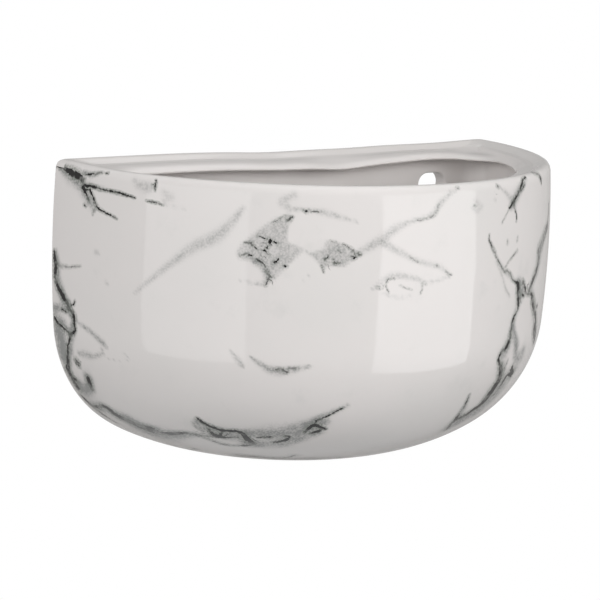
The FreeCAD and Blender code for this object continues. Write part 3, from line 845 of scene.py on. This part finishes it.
def clouding(points, clouds):
    """Soft grey of the clouds and patches at each point, 0 to 1."""
    total = np.zeros(len(points))
    for strength, mark in clouds:
        place, width = traced(mark, 1.2)
        reach = width.max() * 2.6
        low, high = place.min(axis=0) - reach, place.max(axis=0) + reach
        close = np.flatnonzero(np.all((points > low) & (points < high), axis=1))
        if not len(close):
            continue
        gap = np.linalg.norm(points[close, None, :] - place[None, :, :], axis=2) / width[None, :]
        soft = strength * np.exp(-(gap.min(axis=1) / 1.05) ** 2.4)
        total[close] = 1 - (1 - total[close]) * (1 - soft)
    angle = np.degrees(np.arctan2(points[:, 0], AXIS_Y - points[:, 1]))
    run = np.interp(-points[:, 2], -SECTION[:, 1], RUN)
    for strength, outline in PATCHES:
        outline = np.array(outline) * (DEGREE, 1)
        flat = np.column_stack([angle * DEGREE, run])
        boxed = np.all((flat > outline.min(axis=0) - 3) & (flat < outline.max(axis=0) + 3), axis=1)
        close = np.flatnonzero(boxed & (points[:, 1] < -20))
        q = flat[close]
        gap, inside = np.full(len(q), 99.0), np.zeros(len(q), bool)
        for a, b in zip(outline, np.roll(outline, -1, axis=0)):
            edge = b - a
            t = np.clip(((q - a) @ edge) / (edge @ edge), 0, 1)
            gap = np.minimum(gap, np.linalg.norm(q - a - t[:, None] * edge, axis=1))
            crosses = (a[1] > q[:, 1]) != (b[1] > q[:, 1])
            inside ^= crosses & (q[:, 0] < edge[0] * (q[:, 1] - a[1]) / (edge[1] + 1e-12) + a[0])
        soft = strength * eased((np.where(inside, gap, -gap) + 0.7) / 1.4)
        total[close] = 1 - (1 - total[close]) * (1 - soft)
    return np.minimum(1.18 * total, 1.0)


def lay_marbling(obj):
    """Stores the print's marks on a piece's points, for the marbled glaze to read."""
    mesh = obj.data
    points = np.empty(len(mesh.vertices) * 3)
    mesh.vertices.foreach_get("co", points)
    points = points.reshape(-1, 3) / MM
    grown_veins, grown_clouds = grown_marks()
    every = VEINS + grown_veins
    for layer, name in ((0, "vein"), (1, "branch")):
        marks = [(ink, mark) for on, ink, mark in every if on == layer]
        across, past, near, width, ink = nearest_marks(points, marks)
        for suffix, columns in (("_place", (across, past, near)), ("_look", (width, ink, ink * 0))):
            data = mesh.attributes.new(name + suffix, "FLOAT_VECTOR", "POINT").data
            data.foreach_set("vector", np.clip(np.column_stack(columns), -30, 30).ravel())
    inset = np.maximum(0.0, PRINT_EDGE - np.interp(-points[:, 2], -SECTION[:, 1], RUN))
    soft = clouding(points, CLOUDS + grown_clouds) * (1 - eased(inset / 2.0))
    mesh.attributes.new("clouding", "FLOAT", "POINT").data.foreach_set("value", soft)


# ---------------------------------------------------------------- finishes
class Nodes:
    """A node tree with short calls for what the finishes and the studio share."""

    def __init__(self, tree):
        self.tree = tree

    def node(self, kind, **settings):
        node = self.tree.nodes.new(kind)
        for key, value in settings.items():
            setattr(node, key, value)
        return node

    def put(self, socket, value):
        if isinstance(value, bpy.types.NodeSocket):
            self.tree.links.new(value, socket)
        else:
            socket.default_value = value

    def seen(self):
        """1 for what the camera sees, also in gloss or through glass, and 0 for light on the object."""
        rays = self.node("ShaderNodeLightPath").outputs
        return self.math("MAXIMUM", self.math("MAXIMUM", rays["Is Camera Ray"], rays["Is Glossy Ray"]),
                         rays["Is Transmission Ray"])

    def mixed(self, share, under, over):
        """Two shaders, mixed."""
        node = self.node("ShaderNodeMixShader")
        for socket, value in zip(node.inputs, (share, under, over)):
            self.put(socket, value)
        return node.outputs[0]

    def math(self, operation, a, b=0.0, c=0.0):
        node = self.node("ShaderNodeMath", operation=operation)
        for socket, value in zip(node.inputs, (a, b, c)):
            self.put(socket, value)
        return node.outputs[0]

    def ramp(self, value, low, high, to_low=0.0, to_high=1.0):
        node = self.node("ShaderNodeMapRange", interpolation_type="SMOOTHSTEP")
        for name, number in (("Value", value), ("From Min", low), ("From Max", high), ("To Min", to_low),
                             ("To Max", to_high)):
            self.put(node.inputs[name], number)
        return node.outputs["Result"]


class Finish(Nodes):
    """A material, read in the piece's own object coordinates."""

    def __init__(self, name):
        self.material = bpy.data.materials.new(name)
        self.material.use_nodes = True
        super().__init__(self.material.node_tree)
        self.shader = self.tree.nodes["Principled BSDF"]
        self.place = self.node("ShaderNodeTexCoord").outputs["Object"]

    def noise(self, scale, detail=2.0, roughness=0.5, distortion=0.0):
        node = self.node("ShaderNodeTexNoise")
        self.put(node.inputs["Vector"], self.place)
        for name, number in (("Scale", scale), ("Detail", detail), ("Roughness", roughness),
                             ("Distortion", distortion)):
            node.inputs[name].default_value = number
        return node.outputs["Fac"]

    def cells(self, scale):
        node = self.node("ShaderNodeTexVoronoi", feature="F1")
        self.put(node.inputs["Vector"], self.place)
        node.inputs["Scale"].default_value = scale
        return node

    def mix(self, share, under, over):
        node = self.node("ShaderNodeMix", data_type="RGBA")
        self.put(node.inputs[0], share)
        for socket, colour in ((node.inputs[6], under), (node.inputs[7], over)):
            self.put(socket, colour if isinstance(colour, bpy.types.NodeSocket) else (*colour, 1))
        return node.outputs[2]

    def printed(self, share, body, ink):
        """The ink's colour over the body's, by a share that may run past 1."""
        return self.mix(self.math("MINIMUM", share, 1.0), body, ink)

    def split(self, attribute):
        source = self.node("ShaderNodeAttribute", attribute_name=attribute)
        parts = self.node("ShaderNodeSeparateXYZ")
        self.put(parts.inputs[0], source.outputs["Vector"])
        return parts.outputs

    def bump(self, height, distance, strength=1.0, under=None):
        node = self.node("ShaderNodeBump")
        self.put(node.inputs["Height"], height)
        node.inputs["Distance"].default_value = distance
        node.inputs["Strength"].default_value = strength
        if under is not None:
            self.put(node.inputs["Normal"], under)
        return node.outputs["Normal"]

    def finish(self, colour, roughness, normal, **steady):
        self.put(self.shader.inputs["Base Color"], colour)
        self.put(self.shader.inputs["Roughness"], roughness)
        self.put(self.shader.inputs["Normal"], normal)
        for name, number in steady.items():
            self.shader.inputs[name.replace("_", " ")].default_value = number
        return self.material


def glaze_surface(f):
    """Roughness and relief of a fired gloss: a lazy flow, faint orange peel and a few pinholes."""
    roughness = f.ramp(f.noise(130, 3), 0.3, 0.7, 0.015, 0.045)
    flow = f.bump(f.noise(38, 1.0, 0.4), 0.00055, 0.55)
    peel = f.bump(f.noise(420, 2.0), 0.00004, 0.5, flow)
    pits = f.cells(230)
    hole = f.math("MULTIPLY", f.ramp(pits.outputs["Distance"], 0.03, 0.09, 1.0, 0.0),
                  f.ramp(f.noise(95, 1.0), 0.70, 0.76))
    return roughness, f.bump(f.math("MULTIPLY", hole, -1.0), 0.00012, 0.7, peel), hole


GLAZE_WHITE = (0.752, 0.722, 0.708)
GLAZE_SHADE = (0.722, 0.692, 0.676)
MARBLE_SHADE = (0.730, 0.708, 0.692)
PINHOLE = (0.42, 0.40, 0.38)
IRON_SPECK = (0.22, 0.18, 0.14)
MARBLE_MIST = (0.47, 0.49, 0.47)
CLOUD_GREY = (0.288, 0.291, 0.284)
HALO_GREY = (0.20, 0.215, 0.192)
VEIN_BLACK = (0.0065, 0.0065, 0.0065)


def white_glaze_finish():
    f = Finish("white_glaze")
    roughness, normal, hole = glaze_surface(f)
    body = f.mix(f.ramp(f.noise(22, 3, 0.55), 0.35, 0.68), GLAZE_WHITE, GLAZE_SHADE)
    iron = f.cells(120)
    speck = f.math("MULTIPLY", f.ramp(iron.outputs["Distance"], 0.02, 0.045, 1.0, 0.0),
                   f.ramp(f.noise(61, 1.0), 0.69, 0.72))
    body = f.mix(f.math("MULTIPLY", speck, 0.55), body, IRON_SPECK)
    body = f.mix(f.math("MULTIPLY", hole, 0.25), body, PINHOLE)
    return f.finish(body, roughness, normal, IOR=1.5)


def marbled_glaze_finish():
    f = Finish("marbled_glaze")
    roughness, normal, hole = glaze_surface(f)
    body = f.mix(f.ramp(f.noise(17, 3, 0.6), 0.38, 0.7), GLAZE_WHITE, MARBLE_SHADE)
    grain = f.noise(1350, 1.5, 0.5)             # the print's stipple
    wisp = f.noise(260, 4, 0.62)
    wobble = f.math("SUBTRACT", f.noise(520, 2.0, 0.5), 0.5)
    body = f.mix(f.ramp(f.noise(60, 5, 0.62), 0.56, 0.75, 0.0, 0.14), body, MARBLE_MIST)

    cloud = f.node("ShaderNodeAttribute", attribute_name="clouding").outputs["Fac"]
    marbled = f.math("MULTIPLY", cloud, f.ramp(wisp, 0.22, 0.72, 0.62, 1.25))
    stippled = f.math("MULTIPLY", marbled, f.ramp(grain, 0.34, 0.66, 0.95, 1.75))
    body = f.printed(stippled, body, CLOUD_GREY)

    fade = f.ramp(f.noise(210, 2.0, 0.5), 0.38, 0.60, 0.52, 1.85)
    for name in ("vein", "branch"):
        across, past, near = f.split(name + "_place")
        width, ink, _ = f.split(name + "_look")
        side = f.math("ADD", across, f.math("MULTIPLY", wobble, 0.5))
        gap = f.math("SQRT", f.math("ADD", f.math("MULTIPLY", side, side), f.math("MULTIPLY", past, past)))
        # Halfway between two veins the distance aside can pass through 0. The true one keeps that bare.
        honest = f.ramp(f.math("SUBTRACT", near, width), 1.5, 2.4, 1.0, 0.0)
        reach = f.math("MULTIPLY_ADD", width, 2.3, 0.45)
        halo = f.ramp(f.math("DIVIDE", gap, reach), 0.25, 1.0, 1.0, 0.0)
        halo = f.math("MULTIPLY", f.math("MULTIPLY", halo, honest), f.math("MULTIPLY", ink, 0.78))
        halo = f.math("MULTIPLY", halo, f.ramp(grain, 0.36, 0.64, 0.5, 1.35))
        body = f.printed(halo, body, HALO_GREY)
        worn = f.math("ADD", f.math("MULTIPLY", f.math("SUBTRACT", grain, 0.5), 1.5),
                      f.math("MULTIPLY", f.math("SUBTRACT", wisp, 0.5), 0.9))
        core = f.math("SUBTRACT", f.math("MULTIPLY", width, 0.82), gap)
        core = f.ramp(f.math("ADD", core, f.math("MULTIPLY", worn, 0.55)), -0.12, 0.16)
        core = f.math("MULTIPLY", f.math("MULTIPLY", core, honest),
                      f.math("MULTIPLY", f.ramp(ink, 0.2, 1.0, 0.12, 1.0), fade))
        body = f.printed(core, body, VEIN_BLACK)
    body = f.mix(f.math("MULTIPLY", hole, 0.25), body, PINHOLE)
    return f.finish(body, roughness, normal, IOR=1.5)


def bare_clay_finish():
    f = Finish("bare_clay")
    grog = f.noise(900, 3, 0.6)
    body = f.mix(f.ramp(f.noise(70, 3), 0.3, 0.7), (0.66, 0.62, 0.555), (0.585, 0.545, 0.48))
    body = f.mix(f.ramp(grog, 0.6, 0.72, 0.0, 0.5), body, (0.40, 0.35, 0.29))
    relief = f.bump(grog, 0.0002, 0.8, f.bump(f.noise(160, 2), 0.0004, 0.4))
    return f.finish(body, f.ramp(grog, 0.2, 0.8, 0.72, 0.93), relief, IOR=1.45)


# ---------------------------------------------------------------- foot
def foot_path():
    """The closed path along the middle of the foot: part of a circle and a straight back, corners turned."""
    radius = underside_centre()[0] - FOOT_MARGIN - FOOT_WIDTH / 2
    back = -FOOT_SETBACK - FOOT_WIDTH / 2
    points, turn_start, turn_end = half_outline(radius, back, FOOT_CORNER, FOOT_LEVEL)
    half = np.vstack([points[:turn_start:6], points[turn_start:turn_end:4], points[turn_end::5]])
    left = half[1:-1][::-1] * np.array([-1, 1, 1])
    return np.vstack([half, left])


def foot_tree(material):
    """Sweeps a rounded bar along a closed path and rounds it off as a plain mesh."""
    tree = bpy.data.node_groups.new("swept_foot", "GeometryNodeTree")
    tree.interface.new_socket("Path", in_out="INPUT", socket_type="NodeSocketGeometry")
    for name, size in (("Foot width", 0.004), ("Foot height", 0.001), ("Edge round", 0.0004),
                       ("Step along path", 0.0008)):
        socket = tree.interface.new_socket(name, in_out="INPUT", socket_type="NodeSocketFloat")
        socket.default_value = size
    tree.interface.new_socket("Foot", in_out="OUTPUT", socket_type="NodeSocketGeometry")
    given, made = tree.nodes.new("NodeGroupInput"), tree.nodes.new("NodeGroupOutput")
    path = tree.nodes.new("GeometryNodeMeshToCurve")
    even = tree.nodes.new("GeometryNodeResampleCurve")
    even.mode = "LENGTH"
    level = tree.nodes.new("GeometryNodeSetCurveNormal")
    level.mode = "Z_UP"
    bar = tree.nodes.new("GeometryNodeCurvePrimitiveQuadrilateral")
    rounded = tree.nodes.new("GeometryNodeFilletCurve")
    rounded.mode = "POLY"
    rounded.inputs["Count"].default_value = 5
    swept = tree.nodes.new("GeometryNodeCurveToMesh")
    smooth = tree.nodes.new("GeometryNodeSetShadeSmooth")
    real = tree.nodes.new("GeometryNodeRealizeInstances")
    coat = tree.nodes.new("GeometryNodeSetMaterial")
    coat.inputs["Material"].default_value = material
    for source, target in (
            (given.outputs["Path"], path.inputs["Mesh"]),
            (path.outputs["Curve"], even.inputs["Curve"]),
            (given.outputs["Step along path"], even.inputs["Length"]),
            (even.outputs["Curve"], level.inputs["Curve"]),
            (level.outputs["Curve"], swept.inputs["Curve"]),
            (given.outputs["Foot width"], bar.inputs["Width"]),
            (given.outputs["Foot height"], bar.inputs["Height"]),
            (bar.outputs["Curve"], rounded.inputs["Curve"]),
            (given.outputs["Edge round"], rounded.inputs["Radius"]),
            (rounded.outputs["Curve"], swept.inputs["Profile Curve"]),
            (swept.outputs["Mesh"], smooth.inputs["Geometry"]),
            (smooth.outputs["Geometry"], real.inputs["Geometry"]),
            (real.outputs["Geometry"], coat.inputs["Geometry"]),
            (coat.outputs["Geometry"], made.inputs["Foot"])):
        tree.links.new(source, target)
    return tree


def swept_foot(material):
    points = foot_path() * MM
    guide = bpy.data.meshes.new("foot_guide")
    count = len(points)
    guide.from_pydata(points.tolist(), [(i, (i + 1) % count) for i in range(count)], [])
    obj = placed("foot_ring_clay", guide)
    sweep = obj.modifiers.new("sweep", "NODES")
    sweep.node_group = foot_tree(material)
    sizes = {"Foot width": FOOT_WIDTH, "Foot height": FOOT_HEIGHT + FOOT_BEDDING,
             "Edge round": FOOT_EDGE_ROUND, "Step along path": 1.0}
    for item in sweep.node_group.interface.items_tree:
        if item.in_out == "INPUT" and item.name in sizes:
            sweep[item.identifier] = sizes[item.name] * MM
    bpy.context.view_layer.update()
    swept = obj.evaluated_get(bpy.context.evaluated_depsgraph_get())
    mesh = bpy.data.meshes.new_from_object(swept)
    obj.modifiers.clear()
    obj.data = mesh
    mesh.name = "foot_ring_clay"
    bpy.data.meshes.remove(guide)
    bm = bmesh.new()
    bm.from_mesh(mesh)
    bmesh.ops.remove_doubles(bm, verts=bm.verts, dist=MERGE)
    bmesh.ops.recalc_face_normals(bm, faces=bm.faces)
    bm.to_mesh(mesh)
    bm.free()
    return obj


# ---------------------------------------------------------------- the planter
marbled_glaze = marbled_glaze_finish()
white_glaze = white_glaze_finish()
bare_clay = bare_clay_finish()

bowl = bowl_wall([marbled_glaze, white_glaze])
back = back_wall([marbled_glaze, white_glaze])
lip_ring = lip([white_glaze])
foot = swept_foot(bare_clay)
for piece in (bowl, back):
    lay_marbling(piece)
for piece, node, slot in ((bowl, "bowl_wall", "marbled_glaze"), (back, "back_wall", "white_glaze"),
                          (lip_ring, "lip", "white_glaze"), (foot, "foot_ring", "bare_clay")):
    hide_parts(node)
    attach(piece, "root")

# ---------------------------------------------------------------- stage
TARGET = Vector((-0.02076, -0.0440, -0.03364))
DISTANCE = 0.89864
SENSOR = 36.0
FOCAL_PIXELS = 2435.65     # focal length in pixels of a picture 600 wide
AZIMUTH, ELEVATION, ROLL = (math.radians(v) for v in (-36.7638, 10.4599, 2.2375))

back_dir = Vector((math.sin(AZIMUTH) * math.cos(ELEVATION), -math.cos(AZIMUTH) * math.cos(ELEVATION),
                   math.sin(ELEVATION)))
level_right = Vector((math.cos(AZIMUTH), math.sin(AZIMUTH), 0))
level_up = back_dir.cross(level_right)
right = level_right * math.cos(ROLL) + level_up * math.sin(ROLL)
up = -level_right * math.sin(ROLL) + level_up * math.cos(ROLL)
camera = placed("camera", bpy.data.cameras.new("camera"))
camera.matrix_world = Matrix(((right.x, up.x, back_dir.x, 0), (right.y, up.y, back_dir.y, 0),
                              (right.z, up.z, back_dir.z, 0), (0, 0, 0, 1)))
camera.location = TARGET + back_dir * DISTANCE
camera.data.sensor_width = SENSOR
camera.data.lens = FOCAL_PIXELS * SENSOR / 600
camera.data.clip_start = 0.01
bpy.context.scene.camera = camera


PLANTER_MIDDLE = Vector((0, -0.045, -0.03))


def softbox(name, bearing_round, height_angle, distance, width, height, strength, part, roll=0.0):
    """A soft lamp aimed at the planter. A "gloss" lamp makes only a highlight, and a "fill" lamp none."""
    data = bpy.data.lights.new(name, "AREA")
    data.shape = "RECTANGLE"
    data.size, data.size_y = width, height
    data.energy = strength * width * height * math.pi     # strength is the radiance seen
    lamp = placed(name, data)
    a, e = math.radians(bearing_round), math.radians(height_angle)
    away = Vector((math.sin(a) * math.cos(e), -math.cos(a) * math.cos(e), math.sin(e)))
    lamp.location = PLANTER_MIDDLE + away * distance
    turned = away.to_track_quat("Z", "Y").to_matrix() @ Matrix.Rotation(math.radians(roll), 3, "Z")
    lamp.rotation_euler = turned.to_euler()
    lamp.visible_diffuse = part != "gloss"
    lamp.visible_glossy = part != "fill"


softbox("window_right", 27, -11, 1.0, 0.86, 0.72, 1.68, "gloss", 8)
softbox("window_left", -74, -7, 1.0, 0.80, 0.70, 1.0, "gloss", -4)
softbox("key_right", 31, 16, 1.3, 0.9, 0.7, 5.15, "fill")
softbox("back_fill", 180, 4, 1.35, 1.3, 0.8, 2.3, "fill")
softbox("key_left", -60, 16, 1.3, 0.9, 0.7, 4.85, "fill")


# The sky's strength as light on the object, from straight below (0) to straight above (1).
SKY = [(0.0, 0.0), (0.40, 0.03), (0.5, 0.36), (0.57, 0.72), (0.68, 0.40), (1.0, 0.34)]


def studio_world():
    """White to the eye and in gloss. As light it is brightest a little above the level."""
    world = bpy.data.worlds.new("studio")
    world.use_nodes = True
    world.node_tree.nodes.clear()
    f = Nodes(world.node_tree)
    parts = f.node("ShaderNodeSeparateXYZ")
    f.put(parts.inputs[0], f.node("ShaderNodeTexCoord").outputs["Generated"])
    level = f.node("ShaderNodeMapRange")
    f.put(level.inputs["Value"], parts.outputs["Z"])
    f.put(level.inputs["From Min"], -1)
    glow = f.node("ShaderNodeValToRGB")
    f.put(glow.inputs["Fac"], level.outputs["Result"])
    stops = glow.color_ramp.elements
    for at, strength in SKY:
        stop = stops[0] if at == 0 else stops[-1] if at == 1 else stops.new(at)
        stop.color = (strength, strength, strength, 1)
    dim, bright = (f.node("ShaderNodeBackground") for _ in range(2))
    f.put(dim.inputs["Color"], glow.outputs["Color"])
    f.put(bright.inputs["Color"], (1, 1, 1, 1))
    f.put(f.node("ShaderNodeOutputWorld").inputs[0], f.mixed(f.seen(), dim.outputs[0], bright.outputs[0]))
    return world


FLOOR_LEVEL, FLOOR_REACH = -0.75, 1.1
CLOTH_RADIUS, CLOTH_BOTTOM, CLOTH_TOP, CLOTH_SIDES = 1.5, -2.6, 1.7, 72


def studio_floor():
    """A plain pale floor under the hung planter, which fades into the white round it."""
    mesh = bpy.data.meshes.new("floor")
    corners = [(x * FLOOR_REACH, y * FLOOR_REACH, FLOOR_LEVEL)
               for x, y in ((-1, -1), (1, -1), (1, 1), (-1, 1))]
    mesh.from_pydata(corners, [], [(0, 1, 2, 3)])
    f = Finish("studio_floor")
    paper = f.node("ShaderNodeEmission")
    f.put(paper.inputs["Color"], (0.97, 0.97, 0.97, 1))
    shown = f.mixed(f.math("MULTIPLY", f.seen(), 0.62), f.shader.outputs[0], paper.outputs[0])
    length = f.node("ShaderNodeVectorMath", operation="LENGTH")
    f.put(length.inputs[0], f.place)
    clear = f.node("ShaderNodeBsdfTransparent").outputs[0]
    f.put(f.tree.nodes["Material Output"].inputs["Surface"],
          f.mixed(f.ramp(length.outputs["Value"], 0.80, 1.27), shown, clear))
    f.shader.inputs["Base Color"].default_value = (0.64, 0.64, 0.64, 1)
    f.shader.inputs["Roughness"].default_value = 0.9
    f.shader.inputs["Specular IOR Level"].default_value = 0.1
    mesh.materials.append(f.material)
    placed("floor", mesh)


def studio_surround():
    """A grey cloth all round, seen only in the gloss, which keeps the outline crisp against the white."""
    mesh = bpy.data.meshes.new("surround")
    n = CLOTH_SIDES
    turns = [math.radians(360 / n * i) for i in range(n)]
    ring = [(CLOTH_RADIUS * math.sin(turn), CLOTH_RADIUS * math.cos(turn)) for turn in turns]
    mesh.from_pydata([(x, y, z) for z in (CLOTH_BOTTOM, CLOTH_TOP) for x, y in ring], [],
                     [(i, (i + 1) % n, n + (i + 1) % n, n + i) for i in range(n)])
    surround = placed("surround", mesh)
    f = Finish("surround_cloth")
    glow = f.node("ShaderNodeEmission")
    glow.inputs["Color"].default_value = (0.46, 0.45, 0.44, 1)
    f.put(f.tree.nodes["Material Output"].inputs["Surface"], glow.outputs[0])
    mesh.materials.append(f.material)
    surround.visible_camera = surround.visible_diffuse = False
    surround.visible_shadow = surround.visible_transmission = False


bpy.context.scene.world = studio_world()
studio_surround()
studio_floor()

bpy.context.scene.view_settings.view_transform = "Standard"
